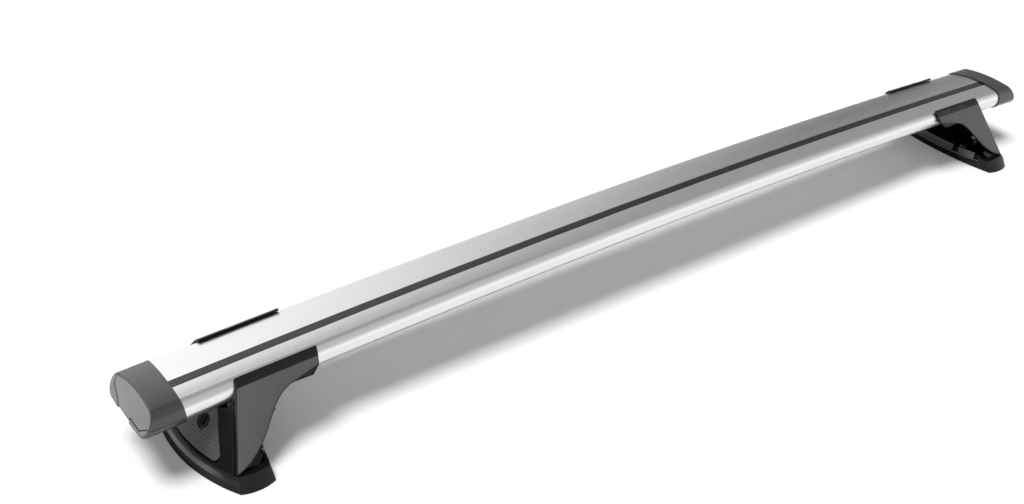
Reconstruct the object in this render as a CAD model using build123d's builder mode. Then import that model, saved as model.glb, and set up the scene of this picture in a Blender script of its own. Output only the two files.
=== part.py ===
from build123d import *
import math
import os

# Roof rack crossbar: a gently arched hollow aluminium wing section on two clamped feet.
# Millimetres. +X runs along the bar, -Y is the bar's blunt leading edge, +Z is up.
# The origin is on the standing surface, midway between the feet.

# Bar
overall_length = 1180.0
bow_rise = 13.6
bar_width = 80.0
nose_radius = 11.5
tail_radius = 9.5
nose_lift = 1.2
tail_drop = 1.2
crown_radius = 150.0
belly_radius = 400.0
skin = 2.0
web = 1.8

# Accessory slot in the bar's top and clamp channel in its underside
slot_y = -10.5
slot_mouth = 9.5
slot_width = 21.0
slot_height = 7.0
slot_lip = 2.4
slot_edge_z = 13.9
channel_mouth = 14.0
channel_width = 25.0
channel_height = 5.6
channel_lip = 2.6
channel_edge_z = -11.6
port_spacing = 59.0
port_radius = 2.1
port_wall = 2.0

# Infill strip
strip_side_gap = 0.15
strip_sink = 0.4
strip_flange = 15.0
strip_flange_height = 1.6
strip_play = 0.2

# End caps
cap_length = 40.0
cap_proud = 1.4
cap_fit = 0.3
cap_lean = 14.0
cap_rim_fillet = 2.2
cap_wall = 2.6
cap_panel = 3.0
end_wall = 2.5
end_wall_play = 0.6
slot_entry_play = 0.5
bar_end_inset = 24.0
flap_gap = 0.3
flap_nose_y = -37.5
flap_dip_y = -27.0
flap_seam_s = 7.2
flap_tail_y = 33.0
flap_tail_rise = 3.0
tab_from = -8.0
tab_to = 17.0
cap_pin_radius = 1.25
cap_pin_s = 5.4
cap_pin_depth = 2.9
cap_knuckle_radius = 2.6
cap_pin_end = 4.5
cap_screw_head = 3.4
cap_screw_head_height = 2.2
cap_screw_radius = 1.9
cap_screw_reach = 14.0

# Feet, set out from the clamp bolt towards the bar's end and up from the standing surface
clamp_end_inset = 120.0
bar_centre_at_clamp = 66.5
foot_offset = 25.0
bar_gap = 0.5
part_gap = 0.4
fit_gap = 0.05

# Wings
wing_lip = 2.4
wing_slab = 3.2
front_lip_y = -34.5
rear_lip_y = 34.0
toe_inset = 0.5
toe_gap = 0.8
wing_edge_x = 1.0
wing_edge_mid_x = -20.0
wing_edge_mid_z = 44.0
wing_heel_x = -6.0
wing_heel_z = 25.5
wing_cut_x = 7.0
wing_cut_z = 38.0
wing_shoulder_x = 22.0
wing_shoulder_drop = 12.0
wing_nose_x = 41.0
wing_nose_drop = 3.0
wing_step_x = 60.0
wing_end_x = 67.5
wing_end_lift = 3.0
wing_top_end = 76.0

# Body
return_thickness = 3.0
saddle_half_width = 26.5
saddle_depth = 6.5
saddle_to = 64.0
rib_y = 33.0
rib_thickness = 3.5
rib_foot_x = 0.0
rib_foot_rise = 6.0
rib_knee_x = 30.0
rib_knee_z = 38.0
rib_end_x = 56.0
wall_top_x = -13.5
wall_top_bulge = 3.0
wall_foot_x = -31.0
wall_foot_bulge = 21.0
wall_top_drop = 4.5
wall_foot_half = 80.0
wall_top_half = 50.0
wall_thickness = 9.0
base_flange = 3.5
access_radius = 13.0

# Outer cover
cover_thickness = 3.4
cover_gap = 1.0
cover_top_z = 49.5
cover_low_z = 16.0
cover_top_half = 30.0
cover_foot_half = 61.0
cover_corner = 4.0
key_hole_radius = 8.5
key_hole_z = 36.0
key_hole_y = -22.5
lock_radius = 6.5
lock_sink = 1.5
lock_depth = 9.0
lock_seat_radius = 8.0
lock_tail = 2.2
key_slot_width = 1.8
key_slot_length = 8.0
key_slot_depth = 4.0
tongue_length = 14.0
tongue_width = 7.0
tongue_thickness = 1.8
peg_radius = 2.5
peg_length = 9.0
peg_low_y = 26.0
peg_low_z = 19.8
peg_high_y = 22.0
peg_high_z = 45.8
window_ledge = 7.5

# Pad and base plate
pad_height = 12.5
pad_floor = 6.0
pad_rim = 5.0
pad_end_y = 91.0
pad_inboard_end = 0.0
pad_inboard_bulge = 11.0
plate_thickness = 2.5
plate_lip_height = 8.5
plate_lip_gap = 8.0
plate_lip_y = 37.0
pad_flare = 6.0
pad_end_flare = 2.0
pad_end_round = 3.5
fixing_hole_radius = 4.5
fixing_relief_radius = 8.0
fixing_x = -22.0

# Fasteners
bolt_radius = 4.0
bolt_hole_gap = 0.4
bolt_head_radius = 6.5
bolt_head_height = 8.0
bolt_socket = 3.0
washer_radius = 10.0
washer_thickness = 1.6
nut_length = 40.0
nut_play = 0.4
nut_thickness = 4.2
nut_chamfer = 0.6
screw_radius = 2.5
screw_head_radius = 4.6
screw_head_height = 2.8
screw_hole_gap = 0.3
wing_boss_radius = 5.0
wing_screw_head = 7.0
wing_screw_x = -3.0
wing_screw_drop = 37.0
base_screw_x = -28.0
base_screw_inboard_x = -3.0
base_screw_y = 41.0
pad_recess_half = 70.0

# Places worked out from the sizes above
bow_radius = overall_length ** 2 / (8 * bow_rise) + bow_rise / 2
clamp_reach = overall_length / 2 - clamp_end_inset
bar_mid_z = bar_centre_at_clamp + bow_radius - math.sqrt(bow_radius ** 2 - clamp_reach ** 2)
bow_centre_z = bar_mid_z - bow_radius
wall_top_z = bar_centre_at_clamp - wall_top_drop
toe_y = wall_foot_half - toe_inset
wing_boss_height = part_gap + return_thickness + fit_gap
toe_z = pad_height + toe_gap
above_bar = bar_centre_at_clamp + bar_width / 2
bow_axis = Axis((0, 0, bow_centre_z), (0, 1, 0))
end_x = -overall_length / 2
bar_end_x = end_x + bar_end_inset
cap_inner_x = end_x + cap_length
clamp_x = -clamp_reach
foot_x = clamp_x - foot_offset
foot_plane = Plane(origin=(foot_x, 0, 0), x_dir=(1, 0, 0), z_dir=(0, -1, 0))
nose_centre = Vector(-bar_width / 2 + nose_radius, nose_lift)
tail_centre = Vector(bar_width / 2 - tail_radius, -tail_drop)

os.makedirs("parts", exist_ok=True)


def finish(part, name):
    part.label = name
    export_step(part, f"parts/{name}.step")


def bow_angle(x):
    return math.degrees(math.asin(x / bow_radius))


def bow_plane(x):
    """Plane across the bar at x, with its sketch x along +Y and its sketch y away from the bow's centre."""
    turn = math.asin(x / bow_radius)
    origin = (x, 0, bow_centre_z + bow_radius * math.cos(turn))
    return Plane(origin=origin, x_dir=(0, 1, 0), z_dir=(math.cos(turn), 0, -math.sin(turn)))


def along_bow(profile, x_from, x_to):
    """The profile carried along the bow from one x to another."""
    with BuildPart() as run:
        with BuildSketch(bow_plane(x_from)):
            add(profile)
        revolve(axis=bow_axis, revolution_arc=bow_angle(x_to) - bow_angle(x_from))
    return run.part


def arc_centre(radius, side):
    """Centre of the arc that holds the nose and tail circles inside it, below them (-1) or above (+1)."""
    span = tail_centre - nose_centre
    to_nose = radius - nose_radius
    to_tail = radius - tail_radius
    along = (to_nose ** 2 - to_tail ** 2 + span.length ** 2) / (2 * span.length)
    across = math.sqrt(to_nose ** 2 - along ** 2)
    unit = span.normalized()
    return nose_centre + unit * along + Vector(-unit.Y, unit.X) * across * side


crown_centre = arc_centre(crown_radius, -1)
belly_centre = arc_centre(belly_radius, 1)


def bar_outline(gap):
    """Wing section of the bar, grown by gap."""
    crown_nose = crown_centre + (nose_centre - crown_centre).normalized() * (crown_radius + gap)
    crown_tail = crown_centre + (tail_centre - crown_centre).normalized() * (crown_radius + gap)
    belly_nose = belly_centre + (nose_centre - belly_centre).normalized() * (belly_radius + gap)
    belly_tail = belly_centre + (tail_centre - belly_centre).normalized() * (belly_radius + gap)
    crown_top = crown_centre + Vector(0, crown_radius + gap)
    belly_low = belly_centre - Vector(0, belly_radius + gap)
    nose_tip = nose_centre - Vector(nose_radius + gap, 0)
    tail_tip = tail_centre + Vector(tail_radius + gap, 0)
    with BuildSketch() as outline:
        with BuildLine():
            ThreePointArc(crown_nose, crown_top, crown_tail)
            ThreePointArc(crown_tail, tail_tip, belly_tail)
            ThreePointArc(belly_tail, belly_low, belly_nose)
            ThreePointArc(belly_nose, nose_tip, crown_nose)
        make_face()
    return outline.sketch


def mirrored(part):
    """The right-hand copy of a left-hand piece."""
    with BuildPart() as twin:
        mirror(part, about=Plane.YZ)
    return twin.part


def both_sides(part, name):
    finish(part, f"left_{name}")
    finish(mirrored(part), f"right_{name}")


# Crossbar extrusion
slot_top_z = slot_edge_z - slot_lip
slot_floor_z = slot_top_z - slot_height
slot_box_top = slot_top_z + slot_lip / 2
channel_low_z = channel_edge_z + channel_lip
channel_roof_z = channel_low_z + channel_height
channel_box_low = channel_low_z - channel_lip / 2
port_places = [(-port_spacing / 2, 0), (port_spacing / 2, 0)]

with BuildSketch() as bar_section:
    add(bar_outline(0))
    add(bar_outline(-skin), mode=Mode.SUBTRACT)
    with Locations((slot_y, (slot_box_top + slot_floor_z - web) / 2)):
        Rectangle(slot_width + 2 * web, slot_box_top - slot_floor_z + web)
    with Locations((0, (channel_box_low + channel_roof_z + web) / 2)):
        Rectangle(channel_width + 2 * web, channel_roof_z + web - channel_box_low)
    for web_y in (-channel_width / 2 - web / 2, slot_y + slot_width / 2 + web / 2):
        with Locations((web_y, (channel_roof_z + slot_floor_z) / 2)):
            Rectangle(web, slot_floor_z - channel_roof_z)
    for port_y, side in ((-port_spacing / 2, -1), (port_spacing / 2, 1)):
        with Locations((port_y, 0)):
            Circle(port_radius + port_wall)
        with Locations((port_y + side * (port_radius + port_wall + 1.5), 0)):
            Rectangle(2 * port_wall + 3, web)
    with Locations(*port_places):
        Circle(port_radius, mode=Mode.SUBTRACT)
    with Locations((slot_y, (slot_top_z + slot_floor_z) / 2)):
        Rectangle(slot_width, slot_height, mode=Mode.SUBTRACT)
    with Locations((slot_y, slot_edge_z)):
        Rectangle(slot_mouth, 2 * slot_lip, mode=Mode.SUBTRACT)
    with Locations((0, (channel_low_z + channel_roof_z) / 2)):
        Rectangle(channel_width, channel_height, mode=Mode.SUBTRACT)
    with Locations((0, channel_edge_z)):
        Rectangle(channel_mouth, 2 * channel_lip, mode=Mode.SUBTRACT)

finish(along_bow(bar_section.sketch, bar_end_x, -bar_end_x), "crossbar_extrusion")

# Infill strip: a flush bead in the slot's mouth over a flange below the lips
with BuildSketch() as strip_section:
    with Locations((slot_y, slot_top_z)):
        Rectangle(slot_mouth - 2 * strip_side_gap, 4 * slot_lip)
    add(bar_outline(-strip_sink), mode=Mode.INTERSECT)
    with Locations((slot_y, slot_top_z - 2 * slot_lip)):
        Rectangle(slot_mouth, 4 * slot_lip, mode=Mode.SUBTRACT)
    with Locations((slot_y, slot_top_z - strip_play - strip_flange_height / 2)):
        Rectangle(strip_flange, strip_flange_height)
    with Locations((slot_y, slot_top_z)):
        Rectangle(slot_mouth - 2 * strip_side_gap, 2 * strip_play)

finish(along_bow(strip_section.sketch, bar_end_x, -bar_end_x), "slot_infill_strip")

# End cap: the outer form is a sleeve over the bar, cut by a face that leans back towards the top
cap_low_z = bow_plane(end_x).origin.Z - (-channel_edge_z) - cap_proud
cap_height = slot_edge_z - channel_edge_z + 2 * cap_proud
nose_seam = nose_lift - channel_edge_z + cap_proud + flap_gap
tail_seam = cap_proud - tail_drop - channel_edge_z + flap_tail_rise
face_up = Vector(cap_lean, 0, cap_height).normalized()
face_in = Vector(face_up.Z, 0, -face_up.X)
face_foot = Vector(end_x, 0, cap_low_z)
face_plane = Plane(origin=face_foot, x_dir=(0, 1, 0), z_dir=face_in)
upright_plane = Plane(origin=face_foot, x_dir=(0, 1, 0), z_dir=(1, 0, 0))


def behind_face(depth):
    """A block that fills all the space further in than depth behind the cap's face."""
    with BuildPart() as block:
        with BuildSketch(face_plane.offset(depth)):
            Rectangle(3 * bar_width, 3 * bar_width)
        extrude(amount=3 * cap_length)
    return block.part


def cap_prism(sketch, plane, depth):
    with BuildPart() as prism:
        with BuildSketch(plane):
            add(sketch)
        extrude(amount=depth, both=True)
    return prism.part


def flap_outline(grow):
    """What belongs to the flap above its tab, seen from the bar's end and measured up from the cap's foot.

    The seam opens wider towards the hinge, so that the flap's inner edge swings clear of the base.
    """
    far = 2 * bar_width
    with BuildSketch() as region:
        with BuildLine():
            Polyline(
                (-far, nose_seam - grow),
                (flap_nose_y, nose_seam - 2 * grow),
                (flap_dip_y, flap_seam_s - 3 * grow),
                (tab_to + grow, flap_seam_s - 3 * grow),
                (flap_tail_y + grow, tail_seam - 2 * grow),
                (flap_tail_y + grow, far),
                (-far, far),
                close=True,
            )
        make_face()
    return region.sketch


def tab_outline(grow, low_s):
    with BuildSketch() as region:
        with Locations(((tab_from + tab_to) / 2, (low_s + flap_seam_s + cap_panel) / 2)):
            Rectangle(tab_to - tab_from + 2 * grow, flap_seam_s + cap_panel - low_s)
    return region.sketch


def pin_plane(y):
    centre = face_foot + face_up * cap_pin_s + face_in * cap_pin_depth
    return Plane(origin=(centre.X, y, centre.Z), x_dir=(1, 0, 0), z_dir=(0, 1, 0))


def pin_rod(radius, y_from, y_to):
    with BuildPart() as rod:
        with BuildSketch(pin_plane(y_from)):
            Circle(radius)
        extrude(amount=y_to - y_from)
    return rod.part


end_wall_x = bar_end_x - cap_fit
pocket_x = end_wall_x - end_wall
flap_depth = cap_pin_depth + cap_knuckle_radius
sleeve = along_bow(bar_outline(cap_proud), end_x - cap_length, cap_inner_x)
bar_room = along_bow(bar_outline(cap_fit), end_wall_x, cap_inner_x + 1)
wall_room = along_bow(bar_outline(cap_fit), pocket_x - flap_gap, cap_inner_x + 1)
pocket = along_bow(bar_outline(-cap_wall), end_x - cap_length, pocket_x)

with BuildPart() as cap_outer:
    add(sleeve)
    add(behind_face(0), mode=Mode.INTERSECT)
    fillet(cap_outer.faces().sort_by(Axis.X)[0].edges(), radius=cap_rim_fillet)

with BuildPart() as cap_pocket:
    add(pocket)
    add(behind_face(cap_panel), mode=Mode.INTERSECT)

flap_region = cap_prism(flap_outline(0), upright_plane, 3 * cap_length)
flap_region_grown = cap_prism(flap_outline(flap_gap), upright_plane, 3 * cap_length)
tab_block = cap_prism(tab_outline(0, cap_pin_s), face_plane, flap_depth)
tab_relief = cap_prism(tab_outline(flap_gap, -cap_knuckle_radius), face_plane, flap_depth + flap_gap)
knuckle = pin_rod(cap_knuckle_radius, tab_from, tab_to)
knuckle_relief = pin_rod(cap_knuckle_radius + flap_gap, tab_from - flap_gap, tab_to + flap_gap)
pin_hole = pin_rod(cap_pin_radius + fit_gap, tab_from - cap_pin_end - 0.5, tab_to + cap_pin_end + 0.5)

swing_radius = math.hypot(flap_seam_s - cap_pin_s, cap_pin_depth) + flap_gap / 2

with BuildPart() as cap_flap_region:
    add(flap_region)
    add(pin_rod(swing_radius, flap_dip_y, tab_from), mode=Mode.SUBTRACT)
    add(pin_rod(swing_radius, tab_to, flap_tail_y), mode=Mode.SUBTRACT)
    add(tab_block)

with BuildPart() as cap_flap:
    add(cap_outer.part)
    add(wall_room, mode=Mode.SUBTRACT)
    add(cap_pocket.part, mode=Mode.SUBTRACT)
    add(cap_flap_region.part, mode=Mode.INTERSECT)
    add(knuckle)
    add(pin_hole, mode=Mode.SUBTRACT)

end_wall_plate = along_bow(bar_outline(-end_wall_play), pocket_x, end_wall_x)
with BuildSketch() as slot_notch:
    with Locations((slot_y, slot_floor_z + slot_height)):
        Rectangle(slot_width + 2 * slot_entry_play, 2 * slot_height)
slot_entry = along_bow(slot_notch.sketch, pocket_x - 1, end_wall_x + 1)
with BuildSketch() as screw_holes:
    with Locations(*port_places):
        Circle(cap_screw_radius + screw_hole_gap)
cap_screw_holes = along_bow(screw_holes.sketch, pocket_x - 1, end_wall_x + 1)

with BuildPart() as cap_base:
    add(cap_outer.part)
    add(bar_room, mode=Mode.SUBTRACT)
    add(cap_pocket.part, mode=Mode.SUBTRACT)
    add(flap_region_grown, mode=Mode.SUBTRACT)
    add(tab_relief, mode=Mode.SUBTRACT)
    add(knuckle_relief, mode=Mode.SUBTRACT)
    add(end_wall_plate)
    add(slot_entry, mode=Mode.SUBTRACT)
    add(cap_screw_holes, mode=Mode.SUBTRACT)
    add(pin_hole, mode=Mode.SUBTRACT)

cap_pin = pin_rod(cap_pin_radius, tab_from - cap_pin_end, tab_to + cap_pin_end)

with BuildPart() as cap_screws:
    with BuildSketch(bow_plane(pocket_x)):
        with Locations(*port_places):
            Circle(cap_screw_radius)
    extrude(amount=end_wall + cap_screw_reach)
    with BuildSketch(bow_plane(pocket_x)):
        with Locations(*port_places):
            Circle(cap_screw_head)
    extrude(amount=-cap_screw_head_height)

both_sides(cap_base.part, "cap_base")
both_sides(cap_flap.part, "cap_flap")
both_sides(cap_pin, "cap_pin")
both_sides(cap_screws.part, "cap_screws")


# Foot wings: a lip over the bar's edge that runs into a leaning blade down to the toe
def lip_circle(side):
    """Centre and radius of the lip's round outer face, round the bar's nose (-1) or tail (+1)."""
    if side < 0:
        return nose_centre, nose_radius + bar_gap + wing_lip
    return tail_centre, tail_radius + bar_gap + wing_lip


def blade_frame(side):
    """Where the blade's outer face leaves the lip, its direction down to the toe, and inwards."""
    centre, radius = lip_circle(side)
    toe = Vector(side * toe_y, toe_z - bar_centre_at_clamp)
    reach = toe - centre
    turn = side * math.acos(radius / reach.length)
    outward = Vector(
        reach.X * math.cos(turn) - reach.Y * math.sin(turn),
        reach.X * math.sin(turn) + reach.Y * math.cos(turn),
    ).normalized()
    edge = centre + outward * radius
    return edge, (toe - edge).normalized(), outward * -1


def blade(depth_from, depth_to, side):
    """Slab between two depths inside the blade's outer face, long enough to be trimmed."""
    edge, run, inward = blade_frame(side)
    reach = 1.3 * (toe_y + bar_width) / 2
    with BuildSketch() as slab:
        with BuildLine():
            Polyline(
                edge + inward * depth_from,
                edge + inward * depth_from + run * reach,
                edge + inward * depth_to + run * reach,
                edge + inward * depth_to,
                close=True,
            )
        make_face()
    return slab.sketch


def wing_profile(side, lip_y):
    far = 2 * bar_width
    with BuildSketch() as lip:
        add(bar_outline(bar_gap + wing_lip))
        with Locations((lip_y + side * far / 2, 0)):
            Rectangle(far, far, mode=Mode.INTERSECT)
    with BuildSketch() as profile:
        add(lip.sketch)
        add(blade(0, wing_slab, side))
        add(bar_outline(bar_gap), mode=Mode.SUBTRACT)
    return profile.sketch


def front_prism(outline, side):
    """A sketch in the foot's x and z, carried out towards -Y or +Y."""
    with BuildPart() as prism:
        with BuildSketch(foot_plane):
            add(outline)
        extrude(amount=-side * 2 * bar_width)
    return prism.part


with BuildSketch() as wing_outline:
    with BuildLine():
        ThreePointArc((wing_edge_x, above_bar), (wing_edge_mid_x, wing_edge_mid_z), (wall_foot_x, toe_z))
        Spline(
            (wall_foot_x, toe_z),
            (wing_heel_x, wing_heel_z),
            (wing_cut_x, wing_cut_z),
            (wing_shoulder_x, bar_centre_at_clamp - wing_shoulder_drop),
            (wing_nose_x, bar_centre_at_clamp - wing_nose_drop),
        )
        Polyline(
            (wing_nose_x, bar_centre_at_clamp - wing_nose_drop),
            (wing_step_x, bar_centre_at_clamp - wing_nose_drop),
            (wing_end_x, bar_centre_at_clamp + wing_end_lift),
            (wing_top_end, above_bar),
            (wing_edge_x, above_bar),
        )
    make_face()

with BuildSketch() as return_outline:
    with BuildLine():
        Polyline(
            (wall_foot_x - pad_rim, pad_height + part_gap),
            (wing_heel_x - return_thickness, pad_height + part_gap),
            (wing_cut_x - return_thickness, wing_heel_z),
            (wing_shoulder_x - return_thickness, wing_edge_mid_z),
            (wing_shoulder_x + return_thickness, above_bar),
            (wall_foot_x - pad_rim, above_bar),
            close=True,
        )
    make_face()


def wing_screw_plane(side):
    """Plane on the blade's inner face at the wing screw, facing out of the foot."""
    edge, run, inward = blade_frame(side)
    across = bow_plane(foot_x + wing_screw_x)
    spot = edge + run * wing_screw_drop + inward * wing_slab
    origin = across.from_local_coords(spot)
    outward = across.from_local_coords(spot - inward) - origin
    return Plane(origin=origin, x_dir=(1, 0, 0), z_dir=outward)


def foot_wing(side, lip_y):
    swept = along_bow(wing_profile(side, lip_y), foot_x - 60, foot_x + 100)
    trim = front_prism(wing_outline.sketch, side)
    screw_plane = wing_screw_plane(side)
    with BuildPart() as wing:
        add(swept)
        add(trim, mode=Mode.INTERSECT)
        with BuildSketch(screw_plane):
            Circle(wing_boss_radius)
        extrude(amount=-wing_boss_height)
        with BuildSketch(screw_plane.offset(-wing_boss_height)):
            Circle(screw_radius + fit_gap)
        extrude(amount=wing_boss_height + wing_slab / 2, mode=Mode.SUBTRACT)
    return wing.part


both_sides(foot_wing(-1, front_lip_y), "front_wing")
both_sides(foot_wing(1, rear_lip_y), "rear_wing")


# Foot body and cover share one leaning, bulged outer wall
def wall_plan(outer, bulge, half, inner):
    with BuildSketch() as plan:
        with BuildLine():
            ThreePointArc((outer, -half), (outer - bulge, 0), (outer, half))
            Polyline((outer, half), (inner, half), (inner, -half), (outer, -half))
        make_face()
    return plan.sketch


def side_block(inset):
    """Everything inboard of the outer wall's face, moved inboard by inset."""
    foot = foot_x + wall_foot_x + inset
    top = foot_x + wall_top_x + inset
    inner = foot_x + bar_width
    with BuildPart() as block:
        with BuildSketch(Plane.XY.offset(pad_height)):
            add(wall_plan(foot, wall_foot_bulge, wall_foot_half, inner))
        with BuildSketch(Plane.XY.offset(wall_top_z)):
            add(wall_plan(top, wall_top_bulge, wall_top_half, inner))
        loft(ruled=True)
    return block.part


def wall_x(y, z):
    """x of the outer wall's face at y and z."""
    rise = (z - pad_height) / (wall_top_z - pad_height)
    share = y / (wall_foot_half + (wall_top_half - wall_foot_half) * rise)
    ends = wall_foot_x + (wall_top_x - wall_foot_x) * rise
    bulge = wall_foot_bulge + (wall_top_bulge - wall_foot_bulge) * rise
    return foot_x + ends - bulge * (1 - share ** 2)


def side_prism(low_z, grow):
    """The cover's outline from low_z up, grown all round, as a prism along X."""
    slope = (cover_foot_half - cover_top_half) / (cover_top_z - cover_low_z)
    sideways = grow * math.hypot(1, slope)
    low_half = cover_foot_half + (cover_low_z - low_z + grow) * slope + sideways
    top_half = cover_top_half - grow * slope + sideways
    with BuildPart() as prism:
        with BuildSketch(Plane.YZ.offset(foot_x - bar_width)):
            with BuildLine():
                Polyline(
                    (-low_half, low_z - grow),
                    (low_half, low_z - grow),
                    (top_half, cover_top_z + grow),
                    (-top_half, cover_top_z + grow),
                    close=True,
                )
            make_face()
        extrude(amount=2 * bar_width)
        fillet(prism.edges().filter_by(Axis.X), radius=cover_corner)
    return prism.part


wall_lean = math.atan2(wall_top_x - wall_foot_x + wall_foot_bulge - wall_top_bulge, wall_top_z - pad_height)
wall_out = Vector(-math.cos(wall_lean), 0, math.sin(wall_lean))
key_centre = Vector(wall_x(key_hole_y, key_hole_z), key_hole_y, key_hole_z)
key_plane = Plane(origin=key_centre, x_dir=(0, 1, 0), z_dir=wall_out)


def peg_rods(radius, reach):
    """Rods along X at the cover's four pegs, from inside its skin towards the middle of the foot."""
    with BuildPart() as rods:
        for y, z in peg_places:
            root = (wall_x(y, z) + cover_thickness / 2, y, z)
            with BuildSketch(Plane(origin=root, x_dir=(0, 1, 0), z_dir=(1, 0, 0))):
                Circle(radius)
            extrude(amount=cover_thickness / 2 + reach)
    return rods.part


peg_places = [(peg_low_y, peg_low_z), (peg_high_y, peg_high_z)]
peg_places += [(-y, z) for y, z in peg_places]
block_outer = side_block(0)
block_behind_cover = side_block(cover_thickness)
block_behind_gap = side_block(cover_thickness + cover_gap)
block_behind_wall = side_block(wall_thickness)
cover_prism = side_prism(cover_low_z, 0)

with BuildPart() as outer_cover:
    add(block_outer)
    add(block_behind_cover, mode=Mode.SUBTRACT)
    add(cover_prism, mode=Mode.INTERSECT)
    with BuildSketch(key_plane.offset(-lock_depth)):
        Circle(lock_seat_radius)
    extrude(amount=lock_depth - lock_sink)
    add(peg_rods(peg_radius, peg_length))
    with BuildSketch(key_plane.offset(-lock_depth - 1)):
        Circle(lock_radius + fit_gap)
    extrude(amount=lock_depth + 5, mode=Mode.SUBTRACT)
    with BuildSketch(key_plane.offset(-lock_sink)):
        Circle(key_hole_radius)
    extrude(amount=lock_sink + 5, mode=Mode.SUBTRACT)

with BuildPart() as lock_barrel:
    with BuildSketch(key_plane.offset(-lock_depth - lock_tail)):
        Circle(lock_radius)
    extrude(amount=lock_depth + lock_tail - lock_sink)
    with BuildSketch(key_plane.offset(-lock_depth - lock_tail)):
        with Locations((tongue_length / 2, 0)):
            Rectangle(tongue_length, tongue_width)
    extrude(amount=tongue_thickness)
    with BuildSketch(key_plane.offset(-lock_sink)):
        Rectangle(key_slot_width, key_slot_length)
    extrude(amount=-key_slot_depth, mode=Mode.SUBTRACT)

both_sides(outer_cover.part, "outer_cover")
both_sides(lock_barrel.part, "lock_barrel")


# Foot body: the space inside the wings, as a section across the bar
def core_section(inset):
    """Section of the space between the two blades' inner faces, moved in by inset, below the bar."""
    depth = wing_slab + part_gap + inset
    corners = []
    for side in (-1, 1):
        edge, run, inward = blade_frame(side)
        corners.append((edge + inward * depth, edge + inward * depth + run * 1.3 * bar_width))
    far = 2 * bar_width
    with BuildSketch() as lip_room:
        add(bar_outline(bar_gap + wing_lip + part_gap))
        Rectangle(2 * saddle_half_width, far, mode=Mode.SUBTRACT)
    with BuildSketch() as section:
        with BuildLine():
            Polyline(corners[0][0], corners[0][1], corners[1][1], corners[1][0], close=True)
        make_face()
        with Locations((0, far / 2)):
            Rectangle(far, far, mode=Mode.SUBTRACT)
        add(lip_room.sketch, mode=Mode.SUBTRACT)
        add(bar_outline(bar_gap), mode=Mode.SUBTRACT)
    return section.sketch


deck_low = channel_edge_z - bar_gap - saddle_depth
with BuildSketch() as deck_section:
    with Locations((0, deck_low / 2)):
        Rectangle(1.5 * bar_width, -deck_low)
with BuildSketch() as return_section:
    add(core_section(-return_thickness))
    add(core_section(return_thickness), mode=Mode.SUBTRACT)

core = along_bow(core_section(0), foot_x - bar_width, foot_x + 1.3 * bar_width)
deck = along_bow(deck_section.sketch, foot_x - bar_width / 2, foot_x + saddle_to)
returns = along_bow(return_section.sketch, foot_x - bar_width, foot_x + bar_width)

with BuildPart() as returns_trimmed:
    add(returns)
    add(front_prism(return_outline.sketch, -1) + front_prism(return_outline.sketch, 1), mode=Mode.INTERSECT)


def plate_outline(grow):
    """Plan of the base plate, grown all round."""
    half = pad_recess_half + grow
    outer = foot_x + wall_foot_x + pad_rim - grow
    inner = foot_x + pad_inboard_end + grow
    with BuildSketch() as plan:
        with BuildLine():
            ThreePointArc((outer, -half), (outer - wall_foot_bulge + 2, 0), (outer, half))
            Line((outer, half), (inner, half))
            ThreePointArc((inner, half), (inner + pad_inboard_bulge - 1, 0), (inner, -half))
            Line((inner, -half), (outer, -half))
        make_face()
    return plan.sketch


plate_low_z = pad_floor
plate_top_z = plate_low_z + plate_thickness
flange_low_z = plate_top_z
flange_top_z = pad_height + base_flange / 2
lip_side = foot_x + bar_width / 2
with BuildSketch() as flange_plan:
    add(plate_outline(-part_gap))
    with BuildSketch(mode=Mode.SUBTRACT) as lip_room:
        with Locations((lip_side, 0)):
            Rectangle(bar_width, 3 * pad_recess_half)
        add(plate_outline(-plate_thickness - part_gap), mode=Mode.SUBTRACT)
screw_places = [
    (foot_x + x, y)
    for x in (base_screw_x, base_screw_inboard_x)
    for y in (-base_screw_y, base_screw_y)
]
fixing_centre = (foot_x + fixing_x, 0)
clamp_plane = Plane(
    origin=bow_plane(clamp_x).origin,
    x_dir=bow_plane(clamp_x).z_dir,
    z_dir=bow_plane(clamp_x).y_dir,
)

with BuildPart() as inner_frame:
    for y in (-rib_y, rib_y):
        with BuildSketch(Plane.XZ.offset(-y - rib_thickness / 2)):
            with BuildLine():
                Polyline(
                    (foot_x - bar_width, flange_low_z),
                    (foot_x + rib_foot_x - rib_thickness, flange_low_z),
                    (foot_x + rib_foot_x, flange_top_z + rib_foot_rise),
                    (foot_x + rib_knee_x, rib_knee_z),
                    (foot_x + rib_end_x, bar_centre_at_clamp + deck_low + 1),
                    (foot_x + rib_end_x, bar_centre_at_clamp),
                    (foot_x - bar_width, bar_centre_at_clamp),
                    close=True,
                )
            make_face()
        extrude(amount=rib_thickness)
    add(deck)
    add(returns_trimmed.part)
    add(block_behind_gap, mode=Mode.INTERSECT)

with BuildPart() as cover_recess:
    add(block_outer)
    add(block_behind_gap, mode=Mode.SUBTRACT)
    add(side_prism(cover_low_z - 1, part_gap), mode=Mode.INTERSECT)

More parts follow.
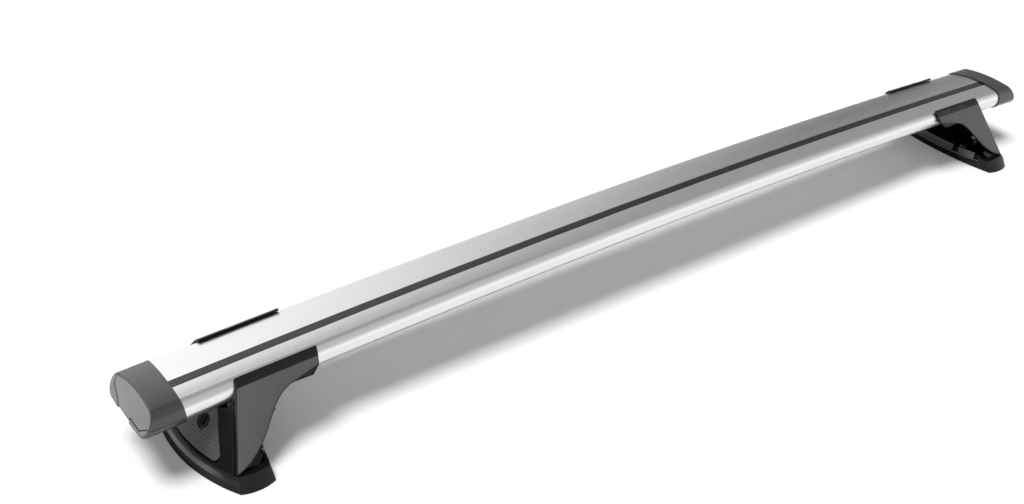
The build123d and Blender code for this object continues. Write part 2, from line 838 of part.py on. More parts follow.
with BuildPart() as foot_body:
    add(block_outer)
    add(block_behind_wall, mode=Mode.SUBTRACT)
    add(side_prism(cover_low_z, -window_ledge), mode=Mode.SUBTRACT)
    add(inner_frame.part)
    add(core, mode=Mode.INTERSECT)
    add(cover_recess.part, mode=Mode.SUBTRACT)
    with BuildSketch(Plane.XY.offset(flange_low_z)):
        add(flange_plan.sketch)
    extrude(amount=flange_top_z - flange_low_z)
    add(peg_rods(peg_radius + fit_gap, peg_length + 1), mode=Mode.SUBTRACT)
    with BuildSketch(Plane.XY.offset(flange_low_z)):
        with Locations(fixing_centre):
            Circle(access_radius)
    extrude(amount=flange_top_z - flange_low_z, mode=Mode.SUBTRACT)
    with BuildSketch(Plane.XY.offset(flange_low_z)):
        with Locations(*screw_places):
            Circle(screw_radius + screw_hole_gap)
    extrude(amount=flange_top_z - flange_low_z, mode=Mode.SUBTRACT)
    for side in (-1, 1):
        with BuildSketch(wing_screw_plane(side)):
            Circle(wing_boss_radius + part_gap)
        extrude(amount=-2 * wing_boss_height, mode=Mode.SUBTRACT)
    with BuildSketch(clamp_plane.offset(deck_low - 1)):
        Circle(bolt_radius + bolt_hole_gap)
    extrude(amount=saddle_depth + 4, mode=Mode.SUBTRACT)

both_sides(foot_body.part, "foot_body")

# Base plate: flat steel with lips turned up along its inboard edge and the fixing hole
lip_outer = plate_outline(0)
lip_inner = plate_outline(-plate_thickness)

with BuildPart() as base_plate:
    with BuildSketch(Plane.XY.offset(plate_low_z)):
        add(lip_outer)
    extrude(amount=plate_thickness)
    with BuildSketch(Plane.XY.offset(plate_low_z)):
        add(lip_outer)
        add(lip_inner, mode=Mode.SUBTRACT)
        with Locations((lip_side, 0)):
            Rectangle(bar_width, 2 * (pad_recess_half - plate_lip_gap), mode=Mode.INTERSECT)
        with Locations((foot_x, -plate_lip_y), (foot_x, plate_lip_y)):
            Rectangle(bar_width, plate_lip_gap, mode=Mode.SUBTRACT)
    extrude(amount=plate_thickness + plate_lip_height)
    with BuildSketch(Plane.XY.offset(plate_low_z)):
        with Locations(fixing_centre):
            Circle(fixing_hole_radius)
        with Locations(*screw_places):
            Circle(screw_radius + fit_gap)
    extrude(amount=plate_thickness, mode=Mode.SUBTRACT)


# Rubber pad: a tray under the plate, open on the inboard side, with a solid toe at each end
def pad_outline(foot, bulge, half, end, inner):
    mid = (foot + inner) / 2
    with BuildSketch() as plan:
        with BuildLine():
            ThreePointArc((foot, -half), (foot - bulge, 0), (foot, half))
            ThreePointArc((foot, half), (mid, end), (inner, half))
            ThreePointArc((inner, half), (inner + pad_inboard_bulge, 0), (inner, -half))
            ThreePointArc((inner, -half), (mid, -end), (foot, -half))
        make_face()
    return plan.sketch


pad_low = pad_outline(
    foot_x + wall_foot_x - pad_end_flare,
    wall_foot_bulge + pad_flare - pad_end_flare,
    pad_end_y - pad_end_round,
    pad_end_y,
    foot_x + pad_inboard_end,
)
pad_high = pad_outline(
    foot_x + wall_foot_x,
    wall_foot_bulge,
    wall_foot_half,
    wall_foot_half + pad_end_round / 2,
    foot_x + pad_inboard_end - 1,
)
pad_room = plate_outline(part_gap)

with BuildPart() as base_pad:
    with BuildSketch():
        add(pad_low)
    with BuildSketch(Plane.XY.offset(pad_height)):
        add(pad_high)
    loft()
    with BuildSketch(Plane.XY.offset(pad_floor)):
        add(pad_room)
        with Locations((foot_x + bar_width / 2, 0)):
            Rectangle(bar_width, 2 * (pad_recess_half + part_gap))
    extrude(amount=pad_height, mode=Mode.SUBTRACT)
    with BuildSketch():
        with Locations(fixing_centre):
            Circle(fixing_relief_radius)
    extrude(amount=pad_height, mode=Mode.SUBTRACT)

both_sides(base_plate.part, "base_plate")
both_sides(base_pad.part, "base_pad")

# Clamp: a nut plate in the bar's channel, pulled down by a bolt through the foot's deck
nut_low = channel_low_z + nut_play
nut_high = nut_low + nut_thickness
nut_width = channel_width - 2 * nut_play
washer_top = deck_low - fit_gap
head_top = washer_top - washer_thickness

with BuildPart() as channel_nut:
    with BuildSketch(clamp_plane.offset(nut_low)):
        Rectangle(nut_length, nut_width)
        Circle(bolt_radius + fit_gap, mode=Mode.SUBTRACT)
    extrude(amount=nut_thickness)
    chamfer(channel_nut.faces().sort_by(Axis.Z)[-1].outer_wire().edges(), length=nut_chamfer)

with BuildPart() as clamp_washer:
    with BuildSketch(clamp_plane.offset(washer_top)):
        Circle(washer_radius)
        Circle(bolt_radius + bolt_hole_gap, mode=Mode.SUBTRACT)
    extrude(amount=-washer_thickness)

with BuildPart() as clamp_bolt:
    with BuildSketch(clamp_plane.offset(head_top)):
        Circle(bolt_radius)
    extrude(amount=nut_high - head_top)
    with BuildSketch(clamp_plane.offset(head_top)):
        Circle(bolt_head_radius)
    extrude(amount=-bolt_head_height)
    with BuildSketch(clamp_plane.offset(head_top - bolt_head_height)):
        RegularPolygon(bolt_socket, 6)
    extrude(amount=bolt_head_height / 2, mode=Mode.SUBTRACT)

both_sides(channel_nut.part, "channel_nut")
both_sides(clamp_washer.part, "clamp_washer")
both_sides(clamp_bolt.part, "clamp_bolt")

with BuildPart() as wing_screws:
    for side in (-1, 1):
        head_plane = wing_screw_plane(side).offset(-wing_boss_height)
        with BuildSketch(head_plane):
            Circle(screw_radius)
        extrude(amount=wing_boss_height + wing_slab / 2 - fit_gap)
        with BuildSketch(head_plane):
            Circle(wing_screw_head)
        extrude(amount=-screw_head_height)

with BuildPart() as base_screws:
    with BuildSketch(Plane.XY.offset(plate_low_z)):
        with Locations(*screw_places):
            Circle(screw_radius)
    extrude(amount=flange_top_z + fit_gap - plate_low_z)
    with BuildSketch(Plane.XY.offset(flange_top_z + fit_gap)):
        with Locations(*screw_places):
            Circle(screw_head_radius)
    extrude(amount=screw_head_height)

both_sides(wing_screws.part, "wing_screws")
both_sides(base_screws.part, "base_screws")
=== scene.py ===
import math

import bpy
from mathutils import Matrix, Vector


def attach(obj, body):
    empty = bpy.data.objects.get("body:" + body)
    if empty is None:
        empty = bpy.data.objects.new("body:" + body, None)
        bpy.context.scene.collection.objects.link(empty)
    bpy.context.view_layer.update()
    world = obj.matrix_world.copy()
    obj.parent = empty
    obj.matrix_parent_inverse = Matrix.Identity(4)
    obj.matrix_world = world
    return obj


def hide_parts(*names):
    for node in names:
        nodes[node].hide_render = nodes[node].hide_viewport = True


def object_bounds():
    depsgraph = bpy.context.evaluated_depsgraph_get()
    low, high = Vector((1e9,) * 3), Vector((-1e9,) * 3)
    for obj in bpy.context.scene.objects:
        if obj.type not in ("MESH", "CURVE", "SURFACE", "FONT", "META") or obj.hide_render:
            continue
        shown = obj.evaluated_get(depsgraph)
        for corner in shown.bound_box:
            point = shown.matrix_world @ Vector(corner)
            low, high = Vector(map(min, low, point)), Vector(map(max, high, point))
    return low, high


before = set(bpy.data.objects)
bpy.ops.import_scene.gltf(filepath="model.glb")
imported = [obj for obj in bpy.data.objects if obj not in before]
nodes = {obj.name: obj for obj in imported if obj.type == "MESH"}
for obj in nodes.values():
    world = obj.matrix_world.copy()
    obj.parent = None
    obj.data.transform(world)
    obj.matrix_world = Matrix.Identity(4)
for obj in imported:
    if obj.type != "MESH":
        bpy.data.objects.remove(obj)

# Looks of a roof rack crossbar on two clamped feet. Metres, in the frame of the CAD part:
# +X along the bar, -Y towards its blunt leading edge, +Z up. Both ends are alike, so places
# along the bar are given for the right end, and out_x is -1 or 1 towards the left or right.

cad_low, cad_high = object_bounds()

# Camera, with its turn in degrees, and its lens and sensor in millimetres
camera_place = (-0.82983, -0.82349, 0.79365)
camera_turn = (55.4324, -3.0179, -35.9461)
camera_lens = 44.886
sensor_width = 36.0
camera_near = 0.01

# Face plates on the caps and on the wings' blades: the normal of the face that each lies on,
# as (x, z) and (y, z), how far it keeps from that face's edge, and how far it stands out.
# A face counts as that one when the cosine between the normals is same_facing or more.
cap_facing = (0.896, 0.443)
blade_facing = (0.848, 0.53)
same_facing = 0.9995
cap_plate = {"inset": 0.0003, "height": 0.0003}
blade_plate = {"inset": 0.0009, "height": 0.0002}
plate_edge = 0.0001
weld_distance = 0.00001
flat_within = 1  # degrees
edge_segments = 2

# Lower edge of the plate on a wing's arm, as (x, z) at its start and end
arm_line = ((0.4616, 0.0618), (0.4290, 0.0692))

# Foot body: where its saddle ends, the planes that part it, and the line of the wings' edges
# that its outer parts are cut back to, as (x, z) at its foot and top
saddle_end_x = 0.458
body_split_y = 0.031
body_split_z = 0.020
return_line = ((0.4990, 0.0260), (0.4800, 0.0470))

# Lip of the pad, a light band that is a painted highlight for the shine on its glossy outboard
# wall: the heights it lies between, how much of a face's normal has to point outboard, and how
# far out the face has to lie for it to carry the lip
highlight_lip_z = (0.0060, 0.0105)
highlight_lip_facing = 0.3
highlight_lip_from_x = 0.515
highlight_lip_thickness = 0.0008
highlight_lip_edge = 0.0002

# Lines raised on the cover, as (y, z) at their ends
cover_lines = (
    ("line_low", (-0.0468, 0.0246), (-0.0023, 0.0240)),
    ("line_high", (-0.0440, 0.0272), (-0.0040, 0.0266)),
)
line_width = 0.0006
line_height = 0.0003
line_cuts = 30

# Edges of mouldings and steel: the radius that the light sees, the cosine between rounded and
# flat normals at which the lighter edges (a painted highlight, and wear) start and are full, how
# much lighter steel is painted on its edges, and the grey that the painted highlight on the pad
# fades to
moulded_edge = 0.0005
steel_edge = 0.0003
edge_samples = 6
wear_and_highlight_from = 0.998
wear_and_highlight_full = 0.85
steel_wear_and_highlight = 1.5
highlight_fade_grey = 0.012

# Floor, with the share of plain white that the camera sees in it
floor_half = 6.0
floor_white = (0.95, 0.95, 0.95, 1)
floor_glow = 0.1

# Key light, with its softness in degrees
key_strength = 2.8
key_softness = 24
key_from = (-0.26, 0.05, 1.0)

# Brightness of the dome, and of the panels that glossy surfaces mirror. The limits of the
# panels are in x, y or z of the mirrored direction, which is 1 long.
dome_level = 0.24
back_bright_x = 0.22
back_dark_x = 0.75
back_bright = 1.33
back_dark = 0.1
front_low = 1.28
front_high = 0.62
front_rise_z = (0.1, 0.62)
front_reach_y = (0.05, -0.3)
overhead = 0.38
overhead_reach_y = (0.45, 0.68)


# Nodes of materials and world
def feed(tree, socket, value):
    """Links another node's output to a socket, or sets the socket to a plain value."""
    if isinstance(value, bpy.types.NodeSocket):
        tree.links.new(value, socket)
    else:
        socket.default_value = value


def add_node(tree, kind, settings=None, **inputs):
    """A node with its settings and inputs. An underscore in an input's name is a space."""
    node = tree.nodes.new(kind)
    for key, value in (settings or {}).items():
        setattr(node, key, value)
    for key, value in inputs.items():
        feed(tree, node.inputs[key.replace("_", " ")], value)
    return node


def new_material(name):
    """A node material and its empty tree."""
    material = bpy.data.materials.new(name)
    material.use_nodes = True
    tree = material.node_tree
    tree.nodes.clear()
    return material, tree


def object_pattern(tree, kind, stretch, **inputs):
    """A texture on object coordinates, with the pattern's repeats per metre along each axis."""
    place = add_node(tree, "ShaderNodeTexCoord")
    mapping = add_node(
        tree, "ShaderNodeMapping", Vector=place.outputs["Object"], Scale=stretch,
    )
    return add_node(tree, kind, Vector=mapping.outputs["Vector"], **inputs)


def noise(tree, stretch, detail, scale=1.0):
    """Cloudy noise, with its repeats per metre along each axis."""
    settings = {"Scale": scale, "Detail": detail}
    return object_pattern(tree, "ShaderNodeTexNoise", stretch, **settings).outputs["Fac"]


def number_between(tree, value, low, high, start=0.0, end=1.0, kind="LINEAR"):
    """A number that goes from low to high as value goes from start to end."""
    limits = {"From_Min": start, "From_Max": end, "To_Min": low, "To_Max": high}
    settings = {"interpolation_type": kind}
    return add_node(
        tree, "ShaderNodeMapRange", settings, Value=value, **limits,
    ).outputs["Result"]


def colour_between(tree, factor, dark, light):
    """A colour that goes from dark to light with factor."""
    ramp = add_node(tree, "ShaderNodeValToRGB", Fac=factor)
    ramp.color_ramp.elements[0].color = (*dark, 1)
    ramp.color_ramp.elements[1].color = (*light, 1)
    return ramp.outputs["Color"]


def colour_over(tree, mask, colour, over):
    """A colour with another one over it where the mask is 1, such as a painted highlight and wear
    on an edge, or the darkening where a painted highlight fades.
    """
    node = add_node(tree, "ShaderNodeMix", {"data_type": "RGBA"})
    for number, value in ((0, mask), (6, colour), (7, (*over, 1))):
        feed(tree, node.inputs[number], value)
    return node.outputs[2]


def number_over(tree, mask, number, over):
    """A number with another one in its place where the mask is 1."""
    node = add_node(tree, "ShaderNodeMix", {"data_type": "FLOAT"})
    for place, value in ((0, mask), (2, number), (3, over)):
        feed(tree, node.inputs[place], value)
    return node.outputs[0]


def bump(tree, height, distance, strength, under=None):
    """Fine relief, on top of the relief under it."""
    settings = {"Height": height, "Distance": distance, "Strength": strength}
    node = add_node(tree, "ShaderNodeBump", **settings)
    if under is not None:
        tree.links.new(under, node.inputs["Normal"])
    return node.outputs["Normal"]


def grey(level, warm=0.0):
    """A grey, with a little more red and less blue where it is warm."""
    return (level * (1 + warm), level, level * (1 - warm))


def rounded_edge(tree, radius):
    """A normal that rounds sharp edges, and a mask that is 1 on them and 0 on the flats."""
    rounded = add_node(tree, "ShaderNodeBevel", {"samples": edge_samples}, Radius=radius)
    flat = add_node(tree, "ShaderNodeNewGeometry")
    dot = add_node(tree, "ShaderNodeVectorMath", {"operation": "DOT_PRODUCT"})
    tree.links.new(rounded.outputs["Normal"], dot.inputs[0])
    tree.links.new(flat.outputs["Normal"], dot.inputs[1])
    mask = number_between(tree, dot.outputs["Value"], 0.0, 1.0, start=wear_and_highlight_from, end=wear_and_highlight_full)
    return rounded.outputs["Normal"], mask


def finish_surface(tree, **inputs):
    """The shader of the surface, joined to the material's output."""
    shader = add_node(tree, "ShaderNodeBsdfPrincipled", **inputs)
    out = add_node(tree, "ShaderNodeOutputMaterial")
    tree.links.new(shader.outputs["BSDF"], out.inputs["Surface"])


# Materials
def drawn_aluminium():
    """Satin anodised extrusion: fine drawing lines along the bar and a faint cloudiness."""
    material, tree = new_material("satin_anodised_aluminium")
    lines = noise(tree, (1.5, 1600, 1600), detail=3.0)
    cloud = noise(tree, (6, 30, 30), detail=2.0)
    grain = noise(tree, (3000, 3000, 3000), detail=1.0)
    colour = colour_between(tree, cloud, dark=(0.74, 0.74, 0.735), light=(0.82, 0.82, 0.815))
    rough = number_between(tree, lines, low=0.24, high=0.34)
    relief = bump(tree, lines, distance=0.000004, strength=0.1)
    relief = bump(tree, grain, distance=0.000004, strength=0.15, under=relief)
    finish_surface(tree, Base_Color=colour, Metallic=1.0, Roughness=rough, Normal=relief)
    return material


def moulded(
    name, dark, light, roughs, grain_per_metre, grain_depth, mottle=25, gloss=0.5,
    wear_and_edge_highlight=grey(0.16), highlight_fade=None,
):
    """A grained moulding: fine leathery grain, soft mottling of colour and gloss, and edges
    painted lighter, a painted highlight that stands also for wear.

    With a fade, the colour darkens from its second y to its first, where a painted highlight
    fades out.
    """
    material, tree = new_material(name)
    fine = (grain_per_metre, grain_per_metre, grain_per_metre)
    cloud = noise(tree, (mottle, mottle, mottle), detail=4.0)
    cells = object_pattern(tree, "ShaderNodeTexVoronoi", fine, Scale=1.0).outputs["Distance"]
    grain = noise(tree, fine, detail=3.0, scale=2.0)
    normal, edge = rounded_edge(tree, moulded_edge)
    # Painted highlight, and wear: sharp edges made lighter in cloudy patches
    wear_and_highlight_patches = add_node(tree, "ShaderNodeMath", {"operation": "MULTIPLY"})
    tree.links.new(edge, wear_and_highlight_patches.inputs[0])
    tree.links.new(cloud, wear_and_highlight_patches.inputs[1])
    colour = colour_between(tree, cloud, dark, light)
    colour = colour_over(tree, wear_and_highlight_patches.outputs[0], colour, wear_and_edge_highlight)
    # Painted shade: the colour darkens along y where a painted highlight fades out
    if highlight_fade:
        place = add_node(tree, "ShaderNodeTexCoord")
        spot = add_node(tree, "ShaderNodeSeparateXYZ", Vector=place.outputs["Object"])
        highlight_fade_mask = number_between(tree, spot.outputs["Y"], 0.0, 1.0, start=highlight_fade[1], end=highlight_fade[0])
        colour = colour_over(tree, highlight_fade_mask, colour, grey(highlight_fade_grey))
    rough = number_between(tree, cloud, *roughs)
    relief = bump(tree, cells, grain_depth, strength=0.5, under=normal)
    relief = bump(tree, grain, grain_depth, strength=0.5, under=relief)
    finish_surface(
        tree, Base_Color=colour, Roughness=rough, Normal=relief, Specular_IOR_Level=gloss,
    )
    return material


def plated(name, dark, light, roughs):
    """Zinc plated or ground steel: metal with small cloudy patches and fine scratches."""
    material, tree = new_material(name)
    cloud = noise(tree, (140, 140, 140), detail=5.0)
    scratch = noise(tree, (200, 4000, 900), detail=2.0)
    normal, edge = rounded_edge(tree, steel_edge)
    # Painted highlight, and wear: the edges of the metal made lighter than the rest
    bright = tuple(min(1.0, steel_wear_and_highlight * level) for level in light)
    colour = colour_over(tree, edge, colour_between(tree, cloud, dark, light), bright)
    rough = number_between(tree, scratch, *roughs)
    relief = bump(tree, scratch, distance=0.00002, strength=0.4, under=normal)
    finish_surface(tree, Base_Color=colour, Metallic=1.0, Roughness=rough, Normal=relief)
    return material


aluminium = drawn_aluminium()
strip_rubber = moulded(
    "strip_rubber", dark=grey(0.004), light=grey(0.01), roughs=(0.16, 0.26),
    grain_per_metre=1500, grain_depth=0.00002, mottle=60, gloss=0.6,
)
cap_plastic = moulded(
    "cap_plastic", dark=grey(0.02, warm=0.04), light=grey(0.035, warm=0.04),
    roughs=(0.26, 0.36), grain_per_metre=1100, grain_depth=0.00004, gloss=0.9,
)
cap_face = moulded(
    "cap_face", dark=grey(0.2, warm=0.02), light=grey(0.25, warm=0.02),
    roughs=(0.32, 0.42), grain_per_metre=2600, grain_depth=0.00001, mottle=30,
)
cap_rim = moulded(
    "cap_rim", dark=grey(0.19, warm=0.02), light=grey(0.27, warm=0.02),
    roughs=(0.45, 0.6), grain_per_metre=1100, grain_depth=0.00012, mottle=60,
)
wing_plastic = moulded(
    "wing_plastic", dark=grey(0.07), light=grey(0.1), roughs=(0.4, 0.54),
    grain_per_metre=1800, grain_depth=0.00004, mottle=45,
)
body_plastic = moulded(
    "body_plastic", dark=grey(0.003), light=grey(0.007), roughs=(0.16, 0.28),
    grain_per_metre=1600, grain_depth=0.00002, gloss=0.14, wear_and_edge_highlight=grey(0.04),
)
wing_edge = moulded(
    "wing_edge", dark=grey(0.005), light=grey(0.01), roughs=(0.22, 0.34),
    grain_per_metre=1800, grain_depth=0.00003, mottle=45, gloss=0.25, wear_and_edge_highlight=grey(0.1),
)
cover_plastic = moulded(
    "cover_plastic", dark=grey(0.05), light=grey(0.075), roughs=(0.4, 0.52),
    grain_per_metre=1800, grain_depth=0.00004, mottle=45,
)
frame_line = moulded(
    "frame_line", dark=grey(0.14), light=grey(0.2), roughs=(0.3, 0.4),
    grain_per_metre=1800, grain_depth=0.00001, mottle=45,
)
pad_rubber = moulded(
    "pad_rubber", dark=grey(0.004), light=grey(0.008), roughs=(0.14, 0.28),
    grain_per_metre=900, grain_depth=0.00003, gloss=0.25, wear_and_edge_highlight=grey(0.06),
)
# Light grey band on the pad: a painted highlight, darkening towards the front where the highlight
# fades
pad_highlight_paint = moulded(
    "pad_highlight_paint", dark=grey(0.3), light=grey(0.42), roughs=(0.2, 0.32),
    grain_per_metre=2000, grain_depth=0.00001, mottle=30, gloss=0.3, wear_and_edge_highlight=grey(0.5),
    highlight_fade=(-0.07, 0.0),
)
lock_metal = plated("lock_metal", dark=grey(0.004), light=grey(0.009), roughs=(0.4, 0.55))
plate_metal = plated("plate_metal", dark=grey(0.1), light=grey(0.16), roughs=(0.35, 0.5))
fastener_metal = plated(
    "fastener_metal", dark=grey(0.3), light=grey(0.42), roughs=(0.28, 0.42),
)

# The same finish on the left and on the right
finish_of = {
    "crossbar_extrusion": aluminium,
    "slot_infill_strip": strip_rubber,
    "cap_base": cap_plastic,
    "cap_flap": cap_plastic,
    "cap_pin": fastener_metal,
    "cap_screws": fastener_metal,
    "foot_body": body_plastic,
    "front_wing": wing_edge,
    "rear_wing": wing_edge,
    "outer_cover": cover_plastic,
    "lock_barrel": lock_metal,
    "base_plate": plate_metal,
    "base_pad": pad_rubber,
    "clamp_bolt": fastener_metal,
    "clamp_washer": fastener_metal,
    "channel_nut": fastener_metal,
    "wing_screws": fastener_metal,
    "base_screws": fastener_metal,
}
for name, obj in nodes.items():
    plain = name.removeprefix("left_").removeprefix("right_")
    obj.data.materials.clear()
    obj.data.materials.append(finish_of[plain])


# New pieces
def deselect():
    bpy.ops.object.select_all(action="DESELECT")


def in_edit_mode(piece):
    """Opens only this piece in edit mode, with none of its faces selected."""
    deselect()
    piece.select_set(True)
    bpy.context.view_layer.objects.active = piece
    bpy.ops.object.mode_set(mode="EDIT")
    bpy.ops.mesh.select_mode(type="FACE")
    bpy.ops.mesh.select_all(action="DESELECT")


def pick_faces(piece, wanted):
    """Selects the faces that wanted(centre, normal) accepts, and comes back to edit mode."""
    bpy.ops.object.mode_set(mode="OBJECT")
    for face in piece.data.polygons:
        face.select = wanted(face.center, face.normal)
    bpy.ops.object.mode_set(mode="EDIT")


def use_modifier(piece, kind, **settings):
    """Adds a modifier and applies it."""
    modifier = piece.modifiers.new(kind.lower(), kind)
    for key, value in settings.items():
        setattr(modifier, key, value)
    bpy.context.view_layer.objects.active = piece
    bpy.ops.object.modifier_apply(modifier=modifier.name)


def copy_of(node, name, material):
    """A piece that starts as a copy of a CAD node's mesh."""
    piece = bpy.data.objects.new(name, nodes[node].data.copy())
    bpy.context.scene.collection.objects.link(piece)
    piece.data.materials.clear()
    piece.data.materials.append(material)
    return piece


def face_plate(node, name, material, facing, inset, height, trim=None):
    """A thin plate on the flat face of a CAD piece that faces this way, with rounded edges."""
    piece = copy_of(node, name, material)
    in_edit_mode(piece)
    pick_faces(piece, lambda centre, normal: normal.dot(facing) < same_facing)
    bpy.ops.mesh.delete(type="FACE")
    bpy.ops.mesh.select_all(action="SELECT")
    bpy.ops.mesh.remove_doubles(threshold=weld_distance)
    bpy.ops.mesh.dissolve_limited(angle_limit=math.radians(flat_within))
    bpy.ops.mesh.select_all(action="SELECT")
    bpy.ops.mesh.inset(thickness=inset, depth=0, use_boundary=True)
    bpy.ops.mesh.select_all(action="INVERT")
    bpy.ops.mesh.delete(type="FACE")
    if trim:
        trim(piece)
    bpy.ops.mesh.select_all(action="SELECT")
    bpy.ops.mesh.extrude_region_shrink_fatten(TRANSFORM_OT_shrink_fatten={"value": height})
    bpy.ops.mesh.select_all(action="SELECT")
    bpy.ops.mesh.normals_make_consistent(inside=False)
    bpy.ops.object.mode_set(mode="OBJECT")
    use_modifier(piece, "BEVEL", width=plate_edge, segments=edge_segments, limit_method="ANGLE")
    return piece


def arm_trim(out_x):
    """Takes the lower edge off a wing plate's arm, which leaves the wing's dark edge below it."""
    (start_x, start_z), (end_x, end_z) = arm_line
    start = (out_x * start_x, 0, start_z)
    across = (out_x * (end_z - start_z), 0, start_x - end_x)

    def trim(piece):
        bpy.ops.mesh.select_all(action="SELECT")
        bpy.ops.mesh.bisect(plane_co=start, plane_no=(1, 0, 0))
        pick_faces(piece, lambda centre, normal: abs(centre.x) < start_x)
        bpy.ops.mesh.bisect(plane_co=start, plane_no=across, clear_inner=True)
    return trim


def kept_part(node, name, material, planes):
    """The part of a CAD node on the side that each plane's normal points to."""
    piece = copy_of(node, name, material)
    in_edit_mode(piece)
    for place, normal in planes:
        bpy.ops.mesh.select_all(action="SELECT")
        bpy.ops.mesh.bisect(plane_co=place, plane_no=normal, clear_inner=True, use_fill=True)
    bpy.ops.object.mode_set(mode="OBJECT")
    return piece


def trimmed_body(side, out_x):
    """The foot body in four parts, with what shows past the wings cut back to their line."""
    (foot_x, foot_z), (top_x, top_z) = return_line
    low = ((0, 0, body_split_z), (0, 0, -1))
    high = ((0, 0, body_split_z), (0, 0, 1))
    slant = ((out_x * foot_x, 0, foot_z), (out_x * (top_z - foot_z), 0, foot_x - top_x))
    short = ((out_x * saddle_end_x, 0, 0), (out_x, 0, 0))
    regions = (
        (low,),
        (high, short, ((0, -body_split_y, 0), (0, 1, 0)), ((0, body_split_y, 0), (0, -1, 0))),
        (high, slant, ((0, -body_split_y, 0), (0, -1, 0))),
        (high, slant, ((0, body_split_y, 0), (0, 1, 0))),
    )
    parts = [
        kept_part(f"{side}_foot_body", f"{side}_foot_shell", body_plastic, planes)
        for planes in regions
    ]
    deselect()
    for part in parts:
        part.select_set(True)
    bpy.context.view_layer.objects.active = parts[0]
    bpy.ops.object.join()
    return parts[0]


def painted_pad_highlight(side, out_x):
    """A light band along the pad's outboard wall: a painted highlight for the shine of its glossy
    side.
    """
    planes = (((0, 0, highlight_lip_z[0]), (0, 0, 1)), ((0, 0, highlight_lip_z[1]), (0, 0, -1)))
    piece = kept_part(f"{side}_base_pad", f"{side}_painted_pad_highlight", pad_highlight_paint, planes)
    in_edit_mode(piece)

    def off_wall(centre, normal):
        return normal.x * out_x < highlight_lip_facing or abs(centre.x) < highlight_lip_from_x

    pick_faces(piece, off_wall)
    bpy.ops.mesh.delete(type="FACE")
    bpy.ops.object.mode_set(mode="OBJECT")
    use_modifier(piece, "SOLIDIFY", thickness=highlight_lip_thickness, offset=0)
    use_modifier(piece, "BEVEL", width=highlight_lip_edge, segments=edge_segments, limit_method="ANGLE")
    return piece


def raised_line(name, cover, start, end, out_x):
    """A slender line raised on a cover, from start to end as (y, z) on its face."""
    deselect()
    middle = ((start[0] + end[0]) / 2, (start[1] + end[1]) / 2)
    length = math.dist(start, end)
    tilt = math.atan2(end[1] - start[1], end[0] - start[0])
    outside = cad_high[0] if out_x > 0 else cad_low[0]
    bpy.ops.mesh.primitive_plane_add(
        size=1, location=(outside, *middle), rotation=(tilt, math.radians(90) * out_x, 0),
    )
    piece = bpy.context.active_object
    piece.name = name
    piece.scale = (line_width, length, 1)
    bpy.ops.object.transform_apply(location=True, rotation=True, scale=True)
    in_edit_mode(piece)
    bpy.ops.mesh.select_all(action="SELECT")
    bpy.ops.mesh.subdivide(number_cuts=line_cuts)
    bpy.ops.object.mode_set(mode="OBJECT")
    use_modifier(
        piece, "SHRINKWRAP", target=nodes[cover], wrap_method="PROJECT", use_project_x=True,
        use_negative_direction=True, use_positive_direction=True, offset=0,
    )
    use_modifier(piece, "SOLIDIFY", thickness=2 * line_height, offset=0)
    piece.data.materials.append(frame_line)
    return piece


for side, out_x in (("left", -1), ("right", 1)):
    facing = Vector((out_x * cap_facing[0], 0, cap_facing[1])).normalized()
    plate = face_plate(f"{side}_cap_flap", f"{side}_flap_face", cap_face, facing, **cap_plate)
    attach(plate, f"{side}_flap")
    plate = face_plate(f"{side}_cap_base", f"{side}_base_face", cap_rim, facing, **cap_plate)
    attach(plate, "bar")
    for wing, way in (("front", -1), ("rear", 1)):
        facing = Vector((0, way * blade_facing[0], blade_facing[1])).normalized()
        plate = face_plate(
            f"{side}_{wing}_wing", f"{side}_{wing}_plate", wing_plastic, facing,
            **blade_plate, trim=arm_trim(out_x),
        )
        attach(plate, f"{side}_foot")
    shell = trimmed_body(side, out_x)
    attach(shell, f"{side}_foot")
    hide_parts(f"{side}_foot_body")
    # A light band on the pad's outboard wall, which is a painted highlight
    highlight_lip = painted_pad_highlight(side, out_x)
    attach(highlight_lip, f"{side}_foot")
    for name, start, end in cover_lines:
        line = raised_line(f"{side}_{name}", f"{side}_outer_cover", start, end, out_x)
        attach(line, f"{side}_cover")

# Floor: it takes the shadow, and a little plain white keeps it pale for the camera
deselect()
bpy.ops.mesh.primitive_plane_add(size=2 * floor_half, location=(0, 0, 0))
floor = bpy.context.active_object
floor.name = "floor"
floor_material, tree = new_material("studio_floor")
lit = add_node(tree, "ShaderNodeBsdfDiffuse", Color=floor_white)
white = add_node(tree, "ShaderNodeEmission", Color=(1, 1, 1, 1), Strength=1.0)
path = add_node(tree, "ShaderNodeLightPath")
share = add_node(tree, "ShaderNodeMath", {"operation": "MULTIPLY"})
tree.links.new(path.outputs["Is Camera Ray"], share.inputs[0])
share.inputs[1].default_value = floor_glow
mix = add_node(tree, "ShaderNodeMixShader", Fac=share.outputs[0])
tree.links.new(lit.outputs[0], mix.inputs[1])
tree.links.new(white.outputs[0], mix.inputs[2])
out = add_node(tree, "ShaderNodeOutputMaterial")
tree.links.new(mix.outputs[0], out.inputs["Surface"])
floor.data.materials.append(floor_material)

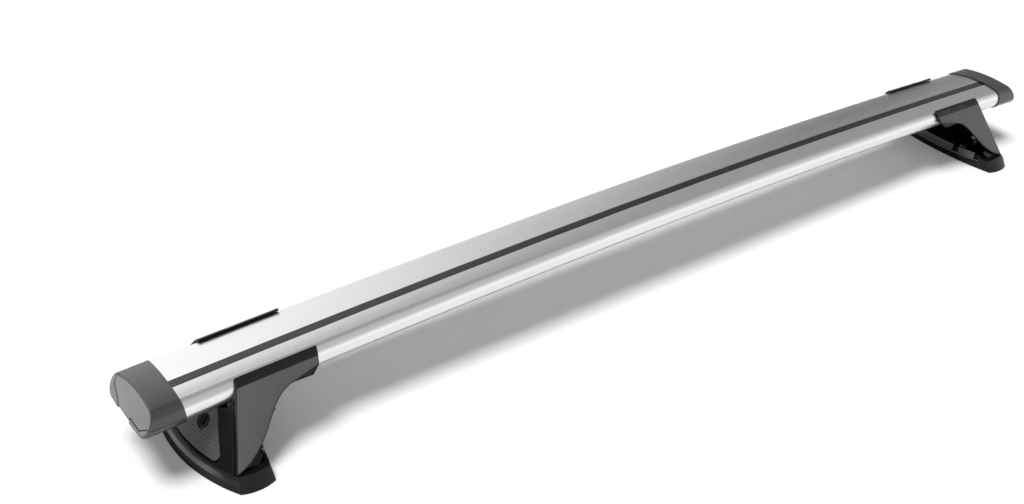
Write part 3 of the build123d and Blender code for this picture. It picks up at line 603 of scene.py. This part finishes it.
# World: white where the camera sees it, an even dome for matt surfaces, and the studio's
# panels as glossy surfaces mirror them: bright behind on the left, bright low in front
world = bpy.data.worlds.new("studio_dome")
world.use_nodes = True
bpy.context.scene.world = world
tree = world.node_tree
tree.nodes.clear()
direction = add_node(tree, "ShaderNodeTexCoord")
along = add_node(tree, "ShaderNodeSeparateXYZ", Vector=direction.outputs["Generated"])
back_panel = number_between(
    tree, along.outputs["X"], back_bright, back_dark, back_bright_x, back_dark_x,
)
front_panel = number_between(
    tree, along.outputs["Z"], front_low, front_high, *front_rise_z, "SMOOTHSTEP",
)
to_back = number_between(tree, along.outputs["Y"], 0, 1, *overhead_reach_y, "SMOOTHSTEP")
upper = number_over(tree, to_back, overhead, back_panel)
to_front = number_between(tree, along.outputs["Y"], 0, 1, *front_reach_y, "SMOOTHSTEP")
mirrored = number_over(tree, to_front, upper, front_panel)
path = add_node(tree, "ShaderNodeLightPath")
dome = number_over(tree, path.outputs["Is Glossy Ray"], dome_level, mirrored)
level = number_over(tree, path.outputs["Is Camera Ray"], dome, 1.0)
shade = add_node(tree, "ShaderNodeBackground", Color=(1, 1, 1, 1), Strength=level)
out = add_node(tree, "ShaderNodeOutputWorld")
tree.links.new(shade.outputs[0], out.inputs["Surface"])

# Key light: wide and soft, nearly overhead, and even over the whole floor
key_data = bpy.data.lights.new("key_light", "SUN")
key_data.energy = key_strength
key_data.angle = math.radians(key_softness)
key_light = bpy.data.objects.new("key_light", key_data)
bpy.context.scene.collection.objects.link(key_light)
key_light.rotation_euler = Vector(key_from).to_track_quat("Z", "Y").to_euler()
key_light.visible_glossy = False

# Camera at the photograph's viewing angle
camera_data = bpy.data.cameras.new("camera")
camera = bpy.data.objects.new("camera", camera_data)
bpy.context.scene.collection.objects.link(camera)
camera.location = camera_place
camera.rotation_euler = [math.radians(turn) for turn in camera_turn]
camera_data.lens = camera_lens
camera_data.sensor_width = sensor_width
camera_data.sensor_fit = "HORIZONTAL"
camera_data.clip_start = camera_near
bpy.context.scene.camera = camera

bpy.context.scene.view_settings.view_transform = "Standard"
